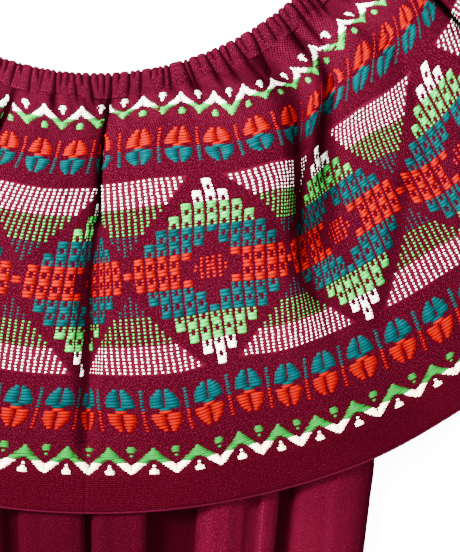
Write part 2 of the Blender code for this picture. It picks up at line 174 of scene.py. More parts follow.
# Vertical folds of the body's front, across the dress at the underarms: left foot, left crest, right
# crest and right foot, height, how far each foot leans in, height of the valley on the right
BODY_FOLDS = (
    (-0.19, -0.177, -0.146, -0.128, 0.0175, 0, 0, 0.008),
    (-0.116, -0.108, -0.074, -0.062, 0.019, 0.0025, 0, 0.0085),
    (-0.055, -0.048, -0.013, -0.0065, 0.0188, 0, 0, 0.009),
    (-0.0045, 0.002, 0.0315, 0.036, 0.02, 0, 0.0035, 0.008),
    (0.064, 0.079, 0.0915, 0.1035, 0.0185, 0, 0, 0.013),
    (0.11, 0.115, 0.1215, 0.1262, 0.0163, 0, 0.0025, 0.008),
    (0.132, 0.146, 0.168, 0.19, 0.0185, 0, 0, 0.008),
)
# Rows of the body by depth below the arc centre: half width, bend round the centre, relief
BODY_ROWS = (
    (0.4, 0.193, 1, 0.3), (0.455, 0.1942, 1, 0.75), (0.512, 0.192, 1, 1),
    (0.534, 0.189, 1, 1), (0.58, 0.182, 0.7, 0.98), (0.64, 0.176, 0.4, 0.96),
    (0.7, 0.184, 0.2, 0.96), (0.78, 0.202, 0.1, 0.98), (0.87, 0.23, 0, 1),
    (0.96, 0.258, 0, 1.08), (DRESS_DEPTH, 0.295, 0, 1.15),
)
ARMHOLE_START = 0.72  # share of the half width at which the top edge leaves the casing
STITCH_LINE_ACROSS = 0.1138  # the body's stitch line runs down one of its folds
BACK_BED_ENDS = (0.5115, 0.533)  # radii between which the body's back comes down past the back ruffle
HEM_SHOWS = (0.49, 0.56)  # depths between which the body shows right below the ruffle
SECTION_STEPS = 5  # points of the front's section for each corner
BACK_COLUMNS = 61  # points across the back


# Numbers and curves

def mix(start, end, share):
    return start + (end - start) * share


def smooth(low, high, value):
    share = np.clip((value - low) / (high - low), 0.0, 1.0)
    return share * share * (3 - 2 * share)


def curve(places, amounts, value):
    """A smooth curve through the amounts at some places."""
    places, amounts = np.array((places, amounts), dtype=float)
    last = len(places) - 1
    before = np.maximum(np.arange(last + 1) - 1, 0)
    after = np.minimum(np.arange(last + 1) + 1, last)
    slopes = (amounts[after] - amounts[before]) / (places[after] - places[before])
    number = np.clip(np.searchsorted(places, value, side="left") - 1, 0, last - 1)
    width = places[number + 1] - places[number]
    rise = amounts[number + 1] - amounts[number]
    share = np.clip((value - places[number]) / width, 0.0, 1.0)
    bend = mix(slopes[number] * width - rise, rise - slopes[number + 1] * width, share)
    return amounts[number] + rise * share + share * (1 - share) * bend


def along(table, value):
    """A smooth curve through the rows (place, amount) of a table."""
    return curve(*zip(*table), value)


def polar(angle, radius, height):
    """Points in the row's frame from an angle in degrees, a radius and a height."""
    turn = np.radians(angle)
    x, y, z = np.broadcast_arrays(radius * np.sin(turn), CENTRE_Y - radius * np.cos(turn), height)
    return np.stack((x, y, z), axis=-1)


# Creases of the gathers: angle at the neck, lean in degrees, reach and depth in millimetres
CREASES = (
    (-12.5, 0.4, 15, 1.3), (-11.2, 0.3, 7, 1.5), (-10.1, -0.2, 11, 1), (-8.9, 0.1, 5, 1),
    (-7.8, 0.4, 19, 2.4), (-6.7, 0.1, 8, 1.4), (-5.3, -0.1, 8, 1.3), (-4.2, 1.1, 17, 1.6),
    (-2.9, 0.4, 6, 1.8), (-1.3, 1.1, 18, 2.4), (0.2, 0.2, 8, 1.2), (1.6, -0.1, 11, 1.6), (2.9, -0.7, 20, 3),
    (4.6, -0.5, 6, 1.3), (6.4, -0.5, 12, 2.2), (7.6, -0.3, 4, 1), (8.7, -0.7, 12, 1.9),
    (10.8, -0.5, 6, 1.2), (12, -0.4, 5, 1), (13, -0.5, 11, 1.7), (14.1, -0.5, 13, 1.9), (17, 0.7, 18, 2.2),
    (18, 0.4, 23, 2.2), (19.8, 0.2, 7, 1.1), (21.6, 1, 21, 2), (22.7, 0.4, 6, 1.2), (24.3, 1.2, 20, 2.2),
    (25.8, -0.1, 10, 1.6), (27.7, 1.9, 31, 2.8), (29, 0.2, 9, 1.2), (31.5, -1.4, 29, 2.6),
    (32.8, 0, 9, 1.2), (34.8, -0.1, 13, 1.7), (36.5, 0.1, 10, 1.3), (37.8, -0.3, 31, 2.6),
    (39.3, -0.4, 8, 1.3), (41.1, -0.8, 31, 2.8), (42.7, -0.5, 14, 1.7), (44, -0.3, 17, 1.8),
    (45.3, -0.4, 18, 2.2),
)


def scattered_creases():
    """Creases like those of the table for the stretches on either side of it."""
    chance = np.random.default_rng(4)
    made = []
    for start, end in ((-CASING_END + 0.6, -13.4), (46.4, CASING_END - 0.6)):
        angle = start
        while angle < end:
            long = chance.random() < 0.30
            reach = chance.uniform(15, 30) if long else chance.uniform(5, 13)
            depth = chance.uniform(2.0, 2.9) if long else chance.uniform(1.0, 1.9)
            made.append((angle, chance.normal(0, 0.7 if long else 0.25), reach, depth))
            angle += chance.uniform(0.95, 1.75)
    return made


ALL_CREASES = np.array(sorted(CREASES + tuple(scattered_creases())))
ALL_CREASES[:, 2:] /= 1000
# Seen from above, each crease runs on a little past its row's reach, furthest on the steep right
ALL_CREASES[:, 2] *= np.where(ALL_CREASES[:, 0] > 15, 1.35, 1.30)
GATHER_DEPTH = 1.6  # the relief is this much deeper than the rows say, before it is limited
GATHERS_END = NECK_RADIUS + 0.060  # no crease runs on past this radius
CASING_DEEPEST = 0.0052  # most relief in the casing, and in the ruffle below it
RUFFLE_DEEPEST = 0.0034
CROWN = 0.0012  # the cloth between the creases stands up this much


def crease_angles(radius):
    """Angle of every crease at each radius, in order: an array of (radius, crease)."""
    neck_angles, leans, reaches, _ = ALL_CREASES.T
    share = (np.reshape(radius, (-1, 1)) - NECK_RADIUS) / reaches
    return neck_angles + leans * np.clip(share, 0, 1.3) ** 1.4


def gather(angle, radius):
    """Relief of the gathers, sharp creases with the cloth pillowed between them, and the shade painted
    along them.
    """
    relief, shade = np.zeros(len(angle)), np.zeros(len(angle))
    near = radius < GATHERS_END
    if not near.any():
        return relief, shade
    reaches, depths = ALL_CREASES[:, 2], ALL_CREASES[:, 3]
    place = radius[near, None]
    away = np.abs(np.radians(angle[near, None] - crease_angles(place))) * place
    share = (place - NECK_RADIUS) / reaches
    width = mix(0.0021, 0.0026 + reaches * 0.09, np.clip(share, 0, 1.2))
    fade = 1 - smooth(0.6, 1.35, share)
    swell = 1 + 0.5 * np.exp(-((place - SEAM_RADIUS) / 0.0035) ** 2)
    cut = 1 - np.sqrt(1 - np.clip(1 - away / width, 0, 1) ** 2)
    soft = np.clip(1 - away / width, 0, 1) ** 2
    shape = mix(cut, soft, smooth(SEAM_RADIUS - 0.002, SEAM_RADIUS + 0.008, place))
    deepest = (GATHER_DEPTH * depths * fade * swell * shape).max(axis=1)
    limit = mix(CASING_DEEPEST, RUFFLE_DEEPEST, smooth(SEAM_RADIUS - 0.004, SEAM_RADIUS, radius[near]))
    crown = CROWN * np.exp(-np.maximum(radius[near] - SEAM_RADIUS, 0) / 0.010)
    relief[near] = crown - limit * np.tanh(deepest / limit)
    # Painted shade along each crease: a dark narrow core in a softer band
    line = 0.9 * np.exp(-(away / mix(0.0008, 0.0021, np.clip(share, 0, 1))) ** 1.3)
    line = line + 0.32 * np.exp(-(away / (0.9 * width)) ** 2)
    shade[near] = np.minimum((fade * np.clip(depths / 0.0020, 0.4, 1.0) * line).max(axis=1), 1.0)
    return relief, shade


# The ruffle

# Where a fold gapes: the width of its mouth at each level, and how far its left side overhangs
MOUTHS = {
    "centre": ((0.003, 0), (0.0032, 0), (0.0066, 0.5), (0.0286, 1), (0.014, 0), (0.014, 0)),
    "right": ((0.006, 0), (0.034, 0), (0.013, 0.4), (0.012, 0.3), (0.0046, 0), (0.0046, 0)),
    "right overlap": ((0.0046, 0), (0.01, 0), (0.009, 0), (0.0046, 0), (0.0046, 0), (0.0046, 0)),
    "far right": ((0.008, 0), (0.015, 0), (0.01, 0), (0.0046, 0), (0.0046, 0), (0.0046, 0)),
    "far left": ((0.0046, 0), (0.009, 0), (0.01, 0), (0.012, 0), (0.0046, 0), (0.0046, 0)),
}
# A gaping fold under an overhang: share of its cloth, share of the way across, share of its depth
OVERHUNG = (
    (0, 0, 0), (0.092, 0.107, 0.32), (0.16, 0.286, 0.85), (0.2, 0.32, 1), (0.55, 0.36, 0.85),
    (0.6, 0.4, 0.76), (0.664, 0.476, 0.6), (0.776, 0.643, 0.38), (0.892, 0.81, 0.18), (1, 1, 0),
)

# How much shade is painted on the cloth inside a closed fold, a gaping one, and one under an overhang
FOLD_SHADE, GAPING_SHADE, OVERHUNG_SHADE = 0.85, 0.12, 0.34

# The casing's lower edge laps this far over the ruffle, which dips under it
LIP_END = SEAM_RADIUS + 0.0010
LIP_DIP = 0.0008

# Soft creases and ridges: angle and radius at each end, half width, height
SOFT_CREASES = (
    (36.5, 0.354, 28.8, 0.41, 0.007, -0.0022), (33.2, 0.287, 29.8, 0.316, 0.007, -0.0044),
    (29.8, 0.316, 26.4, 0.35, 0.008, -0.0046), (27.9, 0.312, 25.4, 0.342, 0.01, -0.0022),
    (28.6, 0.299, 25.6, 0.325, 0.0055, -0.0026), (21.5, 0.345, 22.5, 0.385, 0.006, -0.0016),
    (-3.5, 0.286, -5.6, 0.322, 0.005, -0.001), (27, 0.285, 19.4, 0.402, 0.006, 0.0016),
    (11, 0.232, 8, 0.262, 0.006, 0.0012), (-8, 0.2215, -6.6, 0.232, 0.003, -0.0018),
    (-4.6, 0.2215, -4, 0.229, 0.0022, -0.0012), (-2, 0.2215, -1.1, 0.2295, 0.0028, -0.0018),
    (0.6, 0.2205, 1.5, 0.226, 0.0026, -0.0018), (5.2, 0.2215, 5.4, 0.228, 0.0024, -0.0013),
    (8.1, 0.221, 8.5, 0.227, 0.0026, -0.0014), (11.2, 0.2215, 11.4, 0.2275, 0.0022, -0.0011),
    (14.2, 0.2215, 14.9, 0.231, 0.0028, -0.0018), (19, 0.225, 24.5, 0.244, 0.004, -0.0014),
    (24, 0.224, 29, 0.24, 0.004, -0.0012), (33, 0.224, 35.5, 0.246, 0.004, -0.0016),
    (-10, 0.228, -7, 0.256, 0.006, -0.001), (-24, 0.23, -27, 0.3, 0.008, -0.0014),
    (-41, 0.235, -42, 0.31, 0.008, -0.0014), (-38, 0.35, -30, 0.41, 0.008, -0.002),
    (50, 0.36, 44, 0.42, 0.008, -0.0018),
)


def fold_rows(down):
    """Angle and lip bars of every fold at each share of the way down: arrays of (fold, point)."""
    rows = np.empty((3, len(FOLDS), len(down)))
    for number, levels in enumerate(FOLDS.values()):
        for part in range(3):
            rows[part, number] = curve(LEVELS, [row[part] for row in levels], down)
    return rows


def hem_height(angle):
    return mix(RUFFLE_HEM_HEIGHT, RUFFLE_FREE_HEIGHT, smooth(*HEM_SINKS, np.abs(angle)))


def ruffle_radius(angle, down):
    hem = HEM_RADIUS - HEM_LIFT * smooth(*HEM_DRAWS_IN, np.abs(angle))
    return mix(SEAM_RADIUS + SEAM_GAP / 2, hem, down)


def ruffle_height(angle, down, edge):
    height = mix(RUFFLE_SEAM_HEIGHT, hem_height(angle), down) + along(BILLOW, down)
    return mix(height, 2 * RUFFLE_WALL + SEAM_GAP, smooth(edge - EDGE_FLATTENS, edge, np.abs(angle)))


def mouths(down):
    """Width of every fold's mouth, and how far its left side overhangs."""
    widths = np.full((len(FOLDS), len(down)), GROOVE_MOUTH)
    overhangs = np.zeros(widths.shape)
    for number, name in enumerate(FOLDS):
        if name in MOUTHS:
            width, overhang = zip(*MOUTHS[name])
            widths[number] = curve(LEVELS, width, down)
            overhangs[number] = curve(LEVELS, overhang, down)
    return widths, np.clip(overhangs, 0, 1)


def groove(tucked, height, radius, mouth):
    """Depth of a fold and half the angle across its mouth."""
    mouth = np.minimum(mouth, 0.97 * tucked)
    deepest = np.minimum(GROOVE_DEPTH, 0.5 * np.maximum(0, height - GROOVE_FLOOR))
    deepest = mix(deepest, np.minimum(deepest, 0.33 * mouth), smooth(0.006, 0.012, mouth))
    depth = np.minimum(0.5 * np.sqrt(np.maximum(tucked ** 2 - mouth ** 2, 0)), deepest)
    return depth, np.degrees(mouth / radius / 2)


def trough(number, aside, radius, down, tucked):
    """Drop and painted shade of the soft trough round a fold, at points so many degrees to its right."""
    strength = np.clip(tucked / 0.012, 0, 1) * TROUGH_DEPTHS[number] * (1 - down ** 4)
    side = np.where(aside < 0, 1.5, 0.75)
    shape = np.exp(-(np.radians(np.abs(aside)) * radius / (TROUGH_WIDTHS[number] * side)) ** 2)
    shade = 0.62 * np.where(side > 1, shape ** 1.6, shape ** 3) * strength / 0.004
    return strength * shape * smooth(0.0, 0.06, down), shade


def ruffle_plan(bar, down):
    """Angle, height, fold drop, radius and painted shade of points of the ruffle's cloth."""
    angles, lefts, rights = fold_rows(down)
    held = rights - lefts
    mouth_widths, overhangs = mouths(down)
    fold = np.clip((rights <= bar).sum(axis=0) - 1, 0, len(FOLDS) - 2)
    left, right = (fold, np.arange(len(bar))), (fold + 1, np.arange(len(bar)))
    start, end = angles[left], angles[right]
    edge = np.where(bar > -3, angles[-1], -angles[0])

    radius = ruffle_radius(start, down)
    start_height, end_height = ruffle_height(start, down, edge), ruffle_height(end, down, edge)
    start_mouth = groove(held[left] * BAR, start_height, radius, mouth_widths[left])[1]
    end_depth, end_mouth = groove(held[right] * BAR, end_height, ruffle_radius(end, down),
                                  mouth_widths[right])

    # Between two folds
    lip, next_lip = start + start_mouth, end - end_mouth
    gap = lefts[right] - rights[left]
    share = np.clip((bar - rights[left]) / np.maximum(gap, 1e-6), 0, 1)
    pushed = along(PUSHED_RIGHT, share) * along(PUSHED_AT, down)
    pushed = pushed + np.sin(np.pi * share) ** 2 * along(PUSHED_MIDDLE, down)
    flat_angle = mix(lip, next_lip, share + pushed * (fold + 1 == CENTRE_PANEL))
    calm = 1 - smooth(edge - EDGE_CALMS[0], edge - EDGE_CALMS[1], np.abs(flat_angle))
    puff = PUFF * np.clip((next_lip - lip) / 12.0, 0, 1) * np.sin(np.pi * share) * (1 - down ** 3)
    flat_height = ruffle_height(flat_angle, down, edge) + calm * puff

    # Inside the fold on the right
    inside = (bar > lefts[right]) & (fold < len(FOLDS) - 2)
    across = np.clip((bar - lefts[right]) / np.maximum(held[right], 1e-6), 0, 1)
    gape = smooth(0.006, 0.016, mouth_widths[right])
    overhang = overhangs[right]
    shares, places, depths = zip(*OVERHUNG)
    drop = mix(np.sin(np.pi * across) ** mix(0.6, 1.3, gape), curve(shares, depths, across), overhang)
    placed = mix(across, curve(shares, places, across), overhang)
    lean = np.degrees(LEANS[fold + 1] / radius) * drop * end_depth / GROOVE_DEPTH * (1 - overhang)
    fold_angle = end + 2 * end_mouth * (placed - 0.5) + lean

    angle = np.where(inside, fold_angle, flat_angle)
    height = np.where(inside, end_height - end_depth * drop, flat_height)
    radius = ruffle_radius(angle, down)
    # Painted shade inside the fold, set by whether it is closed, gaping or overhung
    shade = mix(mix(FOLD_SHADE, GAPING_SHADE, gape), OVERHUNG_SHADE, overhang)
    painted_shade = np.where(inside, np.clip(drop * end_depth / 0.007, 0, 1) ** 1.3 * shade, 0.0)
    for side in (left, right):
        sunk, shade = trough(side[0], angle - angles[side], radius, down, held[side] * BAR)
        height = height - sunk
        painted_shade = np.maximum(painted_shade, shade)
    relief, shade = gather(angle, radius)
    wrinkles = soft_creases(angle, radius)
    under_lip = 1 - smooth(LIP_END - 0.0003, LIP_END + 0.0004, radius)
    height = height + calm * (relief + wrinkles) - LIP_DIP * under_lip
    # Painted shade along the gathers' creases and in the soft creases
    painted_shade = np.maximum(painted_shade, 0.9 * shade) + np.clip(-wrinkles / 0.0042, 0, 0.72)
    return angle, height, np.where(inside, drop, 0.0), radius, painted_shade


def soft_creases(angle, radius):
    """Shallow wrinkles between the folds."""
    turn = np.radians(angle)
    x, y = radius * np.sin(turn), radius * np.cos(turn)
    relief = 0.00035 * np.sin(x * 61 + 9 * np.sin(y * 23)) * np.sin(y * 47 + 3)
    for *ends, width, height in SOFT_CREASES:
        x0, y0, x1, y1 = (reach * wave(math.radians(at)) for at, reach in (ends[:2], ends[2:])
                          for wave in (math.sin, math.cos))
        length = math.hypot(x1 - x0, y1 - y0)
        ahead = ((x - x0) * (x1 - x0) + (y - y0) * (y1 - y0)) / length
        aside = ((x - x0) * (y1 - y0) - (y - y0) * (x1 - x0)) / length
        past = np.maximum(np.maximum(-ahead, ahead - length), 0.0)
        relief = relief + height * np.exp(-(aside / width) ** 2 - (past / 0.014) ** 2)
    return relief


def sag(bar, down):
    """How far a row of brocade hangs below a true arc."""
    past_top = smooth(*SAG_TOP_ENDS, down)
    past_middle = smooth(*SAG_MIDDLE_ENDS, down)
    top = along(SAG_TOP, bar) * (1 - past_top)
    middle = along(SAG_MIDDLE, bar) * past_top * (1 - past_middle)
    low = along(SAG_LOW, bar) * past_middle * (1 - smooth(*SAG_LOW_ENDS, down))
    drawn = DRAWN_UP_MOST * along(DRAWN_UP, bar) * np.exp(-((down - DRAWN_UP_AT) / DRAWN_UP_REACH) ** 2)
    return top + middle + low - drawn


def front_point(bar, down):
    angle, height, _, radius, _ = ruffle_plan(bar, down)
    return polar(angle, radius, height)


def back_point(bar, down):
    """The back ruffle's lower face: pressed flat, its folds narrow dents."""
    angle, _, drop, radius, _ = ruffle_plan(bar, down)
    inset = radius - BACK_HEM_RISE * down
    return polar(angle, inset, BACK_CLOTH_BASE + BACK_DENT * drop)


def cloth_share(bar, rise):
    """Share of the way down the ruffle of cloth that lies so high above the hem, before it sags."""
    down = 1 - rise / RUFFLE_DEPTH
    return np.clip(down + sag(bar, down) / RUFFLE_DEPTH, 0, 1)


# Meshes

def new_object(name, points, faces, material):
    mesh = bpy.data.meshes.new(name)
    mesh.from_pydata(points.reshape(-1, 3).tolist(), [], faces)
    mesh.materials.append(material)
    made = bpy.data.objects.new(name, mesh)
    bpy.context.scene.collection.objects.link(made)
    mesh.shade_smooth()
    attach(made, "root")
    return made


def grid_faces(rows, columns):
    """Quads of a grid whose points run along the columns first."""
    corners = [row * columns + column for row in range(rows - 1) for column in range(columns - 1)]
    return [(a, a + 1, a + columns + 1, a + columns) for a in corners]


def lay_uv(made, uv):
    """A UV map in metres of cloth."""
    layer = made.data.uv_layers.new(name="cloth")
    corners = np.empty(len(made.data.loops), dtype=np.int32)
    made.data.loops.foreach_get("vertex_index", corners)
    layer.data.foreach_set("uv", uv.reshape(-1, 2)[corners].astype(np.float32).ravel())


def note_at_points(made, name, values):
    """A number at every point of the mesh, which its material reads."""
    noted = made.data.attributes.new(name, "FLOAT", "POINT")
    noted.data.foreach_set("value", values.astype(np.float32).ravel())


def cloth_wall(name, points, uv, painted_shade, faces, wall, material):
    """A wall of cloth over faces, with the shade painted at each point noted for its material."""
    made = new_object(name, points, faces, material)
    lay_uv(made, uv)
    note_at_points(made, "painted_shade", np.clip(painted_shade, 0, 1))
    thick = made.modifiers.new("wall", "SOLIDIFY")
    thick.thickness = wall
    thick.offset = -1.0
    return made


def ruffle_columns(in_fold, spacing):
    """Columns of the ruffle: the last fold, a share of the way, and whether that is inside the fold."""
    _, lefts, rights = fold_rows(np.array([COLUMNS_COUNTED_AT]))
    columns = []
    for fold in range(len(FOLDS) - 1):
        if fold > 0:
            columns += [(fold, step / in_fold, True) for step in range(in_fold)]
        steps = max(3, round((lefts[fold + 1, 0] - rights[fold, 0]) * BAR / spacing))
        columns += [(fold, step / steps, False) for step in range(steps)]
    return columns + [(len(FOLDS) - 2, 1.0, False)]


def column_bars(columns, down):
    """The bar of each column at one share of the way down, folds never quite closed."""
    _, lefts, rights = fold_rows(np.array([down]))
    bars = []
    for fold, share, inside in columns:
        start = rights[fold, 0] + (LIP_EASE if fold > 0 else 0.0)
        end = lefts[fold + 1, 0] - (LIP_EASE if fold + 1 < len(FOLDS) - 1 else 0.0)
        if inside:
            start, end = lefts[fold, 0] - LIP_EASE, start
        bars.append(mix(start, end, share))
    return np.array(bars)


def ruffle_rows(fine, coarse):
    """Shares of the way down, closer together near the casing."""
    near = np.linspace(NEAR_FROM, FINE_FROM, fine + 1)[:-1]
    return np.concatenate((UNDER_LIP, near, np.linspace(FINE_FROM, 1, coarse)))


def ruffle_grid(surface, columns, downs):
    """Points and cloth coordinates of a ruffle, rows from the hem up, the last tucked into the casing."""
    points, uv, painted_shade = [], [], []
    for down in downs[::-1]:
        bars = column_bars(columns, down)
        if down < FINE_FROM:
            bars = np.interp(np.arange(2 * len(bars) - 1) / 2, np.arange(len(bars)), bars)
        here = np.full(len(bars), down)
        points.append(surface(bars, here))
        uv.append(np.stack((bars * BAR, (1 - down) * RUFFLE_DEPTH + sag(bars, here)), axis=-1))
        painted_shade.append(ruffle_plan(bars, here)[4])
    inward = points[-1] * (1.0, 1.0, 0.0) - (0.0, CENTRE_Y, 0.0)
    inward /= np.linalg.norm(inward, axis=1, keepdims=True)
    points.append(points[-1] - inward * TUCK - np.array((0.0, 0.0, TUCK_SINKS * (surface is front_point))))
    uv.append(uv[-1] + (0.0, TUCK))
    painted_shade.append(painted_shade[-1])
    return np.concatenate(points), np.concatenate(uv), np.concatenate(painted_shade), ruffle_faces(points)


def ruffle_faces(rows):
    """Faces between rows of points, some of which have twice as many points as the row below."""
    faces, start = [], 0
    for lower, upper in zip(rows, rows[1:]):
        above = start + len(lower)
        ratio = (len(upper) - 1) // (len(lower) - 1)
        for number in range(len(lower) - 1):
            top = above + ratio * number
            faces.append((start + number, start + number + 1, *range(top + ratio, top - 1, -1)))
        start = above
    return faces


# The brocade's stitches, charted by counts of rows and columns

FINE = 1 / 7  # one fine column of the brocade, in bars
COLOURS = ("white", "green", "teal", "orange")
# Kinds of stitch: height as a share of the row, and how far it stands up
KINDS = {
    "low dot": (0.50, 0.00028), "high dot": (0.58, 0.00028), "dot": (0.70, 0.00028),
    "petal": (0.72, 0.00030), "short float": (1.16, 0.00044), "ball": (1.14, 0.00044),
    "wing": (1.22, 0.00046), "wing base": (1.10, 0.00046), "wave": (1.38, 0.00048),
}
FLOAT_FROM = 0.00038  # stitches that stand up this much are floats, lower ones are dots

# The bands of brocade: height above the hem and row pitch, negative where rows run down
PIXEL = 0.000682  # one pixel of the photo on the cloth
LOW_ZIGZAG = (62.5 * PIXEL, -1.87 * PIXEL)
LOW_FLOWERS = (102.0 * PIXEL, 3.05 * PIXEL)
LOW_TRIANGLES = (138.0 * PIXEL, 3.50 * PIXEL)
DIAMOND_CENTRE = 234.5 * PIXEL
DIAMOND_PITCHES = (3.25 * PIXEL, 3.42 * PIXEL)  # above and below the centre
MIDDLE_PITCH = 3.75 * PIXEL
HIGH_TRIANGLES = (332.5 * PIXEL, -3.59 * PIXEL)
HIGH_FLOWERS = (364.0 * PIXEL, 2.36 * PIXEL)
HIGH_ZIGZAG = (392.5 * PIXEL, 2.10 * PIXEL)

# Triangle: rows from its base to its point, and the row where each colour ends
TRIANGLE_ROWS = 22
TRIANGLE_COLOURS = ((8, "white"), (16, "green"), (22, "teal"))
# Diamond: first and last row by block from its middle, and by colour its last row and how full it is
DIAMOND_BLOCKS = ((12, 29), (8, 25), (4, 21), (1, 17), (1, 13), (1, 9), (1, 5), (1, 1))
DIAMOND_COLOURS = ((5, "orange", 1.08), (13, "teal", 1.18), (21, "green", 0.94), (29, "white", 0.94))
# Half the small flower in the open middle of a diamond: row, place and width in fine columns
MIDDLE_FLOWER = (
    (2.5, 0.5, 0.58), (1.5, 0.5, 0.7), (0.5, 0.36, 0.84), (-0.5, 0.36, 0.84), (-1.5, 0.5, 0.7),
    (-2.5, 0.5, 0.58), (2.5, 1.5, 0.58), (1.5, 1.5, 0.58), (0.5, 1.5, 0.58), (-0.5, 1.5, 0.58),
    (-1.5, 1.5, 0.58), (-2.5, 1.5, 0.58), (0.5, 2.5, 0.55), (-0.5, 2.5, 0.55),
)
# Wings of a half flower from its tip: inner and outer end of each row, in fine columns
FLOWER_WINGS = ((0.24, 1.05), (0.18, 1.6), (0.15, 2), (0.13, 2.22), (0.12, 2.36), (0.12, 2.38))
# One wave of each zigzag from its green point: half its gap and half its whole width, in fine columns
LOW_WAVE = (
    (0, 0.5), (0, 0.85), (0, 1.2), (0, 1.55), (0, 1.9), (0.45, 2.25), (0.95, 2.6), (1.35, 3), (1.7, 3.4),
    (2.05, 3.5), (2.4, 3.5), (2.8, 3.5),
)
HIGH_WAVE = (
    (0, 0.7), (0, 1.1), (0, 1.5), (0.25, 1.9), (0.7, 2.35), (1.1, 2.85), (1.5, 3.25), (1.9, 3.5),
    (2.3, 3.5), (2.7, 3.5), (3.1, 3.5),
)
# Lone stitches beside a zigzag: bars from its point, row, width in fine columns, colour
LOW_BALLS = (
    (0, -0.5, 0.6, "green"), (0.5, 12.4, 0.6, "white"), (0, 8.6, 0.5, "white"), (0.5, 3.2, 0.55, "green"),
    (0.5, -1.15, 1.1, "green"), (0.5, -0.1, 1.45, "green"), (0.5, 0.95, 1.3, "green"),
    (0, 10.3, 0.75, "white"), (0, 11.4, 1.5, "white"), (0, 12.5, 1.45, "white"),
)
HIGH_BALLS = (
    (0, -0.5, 0.6, "green"), (0.5, 11.4, 0.6, "white"), (0, 8.3, 0.5, "white"), (0.5, -0.55, 1.2, "green"),
    (0.5, 0.5, 1.45, "green"), (0.5, 1.55, 0.9, "green"), (0, 9.55, 0.75, "white"), (0, 10.6, 1.5, "white"),
    (0, 11.65, 1.15, "white"),
)


def stitch(kind, bar, rise, width, pitch, colour):
    """One stitch: bar, rise, width in bars, height, lift, number of the colour."""
    tall, lift = KINDS[kind]
    return bar, rise, width * FINE, abs(pitch) * tall, lift, COLOURS.index(colour)


def triangles(bar, band, kind, width):
    """A triangle of dotted columns."""
    base, pitch = band
    for column in range(-10, 11):
        for row in range(TRIANGLE_ROWS - 2 * abs(column)):
            colour = next(colour for last, colour in TRIANGLE_COLOURS if row < last)
            yield stitch(kind, bar + column * FINE, base + (row + 0.5) * pitch, width, pitch, colour)


def diamonds(bar):
    """A stepped diamond of short floats and pairs of dots, and the small flower in its open middle."""
    for block in range(-7, 8):
        place = bar + 2 * block * FINE
        first_row, last_row = DIAMOND_BLOCKS[abs(block)]
        for row in range(first_row, last_row + 1):
            colour, full = next(rest for last, *rest in DIAMOND_COLOURS if row <= last)
            for way, pitch in zip((1, -1), DIAMOND_PITCHES):
                rise = DIAMOND_CENTRE + way * (row - 0.5) * pitch
                if row % 4 in (0, 1):
                    yield stitch("short float", place, rise, 1.52 * (1 + full) / 2, pitch, colour)
                    continue
                for side in (-0.53, 0.53):
                    yield stitch("dot", place + side * FINE, rise, 0.50 * full, pitch * full, colour)
    for row, place, width in MIDDLE_FLOWER:
        for side in (-1, 1):
            rise = DIAMOND_CENTRE + row * MIDDLE_PITCH
            yield stitch("petal", bar + side * place * FINE, rise, width, MIDDLE_PITCH, "orange")


def flowers(bar, band, above, below):
    """A double flower: two half flowers of seven rows, joined at their bases, and the bar beside it."""
    joint, pitch = band
    for way, colour in ((1, above), (-1, below)):
        for row, (inner, outer) in enumerate(FLOWER_WINGS):
            rise = joint + way * (6.5 - row) * pitch
            for side in (-1, 1):
                middle = bar + 0.5 + side * (inner + outer) / 2 * FINE
                yield stitch("wing", middle, rise, outer - inner + 0.04, pitch, colour)
        yield stitch("wing base", bar + 0.5, joint + way * 0.5 * pitch, 2.1, pitch, colour)
        for row in range(7):
            yield stitch("dot", bar, joint + way * (row + 0.5) * pitch, 0.62, pitch, colour)


def zigzags(bar, band, wave, turn, balls):
    """One wave of a zigzag, green as far as the row where it turns white."""
    point, pitch = band
    for row, (inner, outer) in enumerate(wave):
        colour = "green" if row < turn else "white"
        rise = point + (row + 0.5) * pitch
        if inner == 0:
            yield stitch("wave", bar, rise, 2 * outer, pitch, colour)
            continue
        for side in (-1, 1):
            middle = bar + side * (inner + outer) / 2 * FINE
            yield stitch("wave", middle, rise, outer - inner + 0.05, pitch, colour)
    for aside, row, width, colour in balls:
        yield stitch("ball", bar + aside, point + row * pitch, width, pitch, colour)


def brocade():
    """Every stitch of one ruffle."""
    rows = []
    for bar in range(math.ceil(FIRST_BAR), math.floor(LAST_BAR) + 1):
        rows += zigzags(bar, LOW_ZIGZAG, LOW_WAVE, 7, LOW_BALLS)
        rows += flowers(bar, LOW_FLOWERS, "teal", "orange")
        rows += flowers(bar, HIGH_FLOWERS, "orange", "teal")
        rows += zigzags(bar, HIGH_ZIGZAG, HIGH_WAVE, 5, HIGH_BALLS)
        if bar % 4 == 2:
            rows += triangles(bar, LOW_TRIANGLES, "low dot", 0.37)
            rows += triangles(bar, HIGH_TRIANGLES, "high dot", 0.42)
        if bar % 4 == 0:
            rows += diamonds(bar)
    rows = np.array(rows)
    reach = rows[:, 2] / 2 + 0.05
    return rows[(rows[:, 0] - reach > FIRST_BAR) & (rows[:, 0] + reach < LAST_BAR)]


# A pad of thread: nine points in three rows and one under it, and how far each is lifted
PAD_ACROSS = np.array((-1, 0, 1, -1, 0, 1, -1, 0, 1, 0))
PAD_ALONG = np.array((-1, -1, -1, 0, 0, 0, 1, 1, 1, 0))
DOT_LIFT = np.array((-0.25, 0.25, -0.25, 0.45, 1.0, 0.45, -0.25, 0.25, -0.25, -0.5))
FLOAT_LIFT = np.array((-0.2, 0.45, -0.2, 0.2, 1.0, 0.2, -0.2, 0.45, -0.2, -0.5))
PAD_FACES = np.array(((0, 1, 4, 3), (1, 2, 5, 4), (3, 4, 7, 6), (4, 5, 8, 7),
                      (1, 0, 3, 9), (2, 1, 9, 5), (9, 3, 6, 7), (5, 9, 7, 8)))


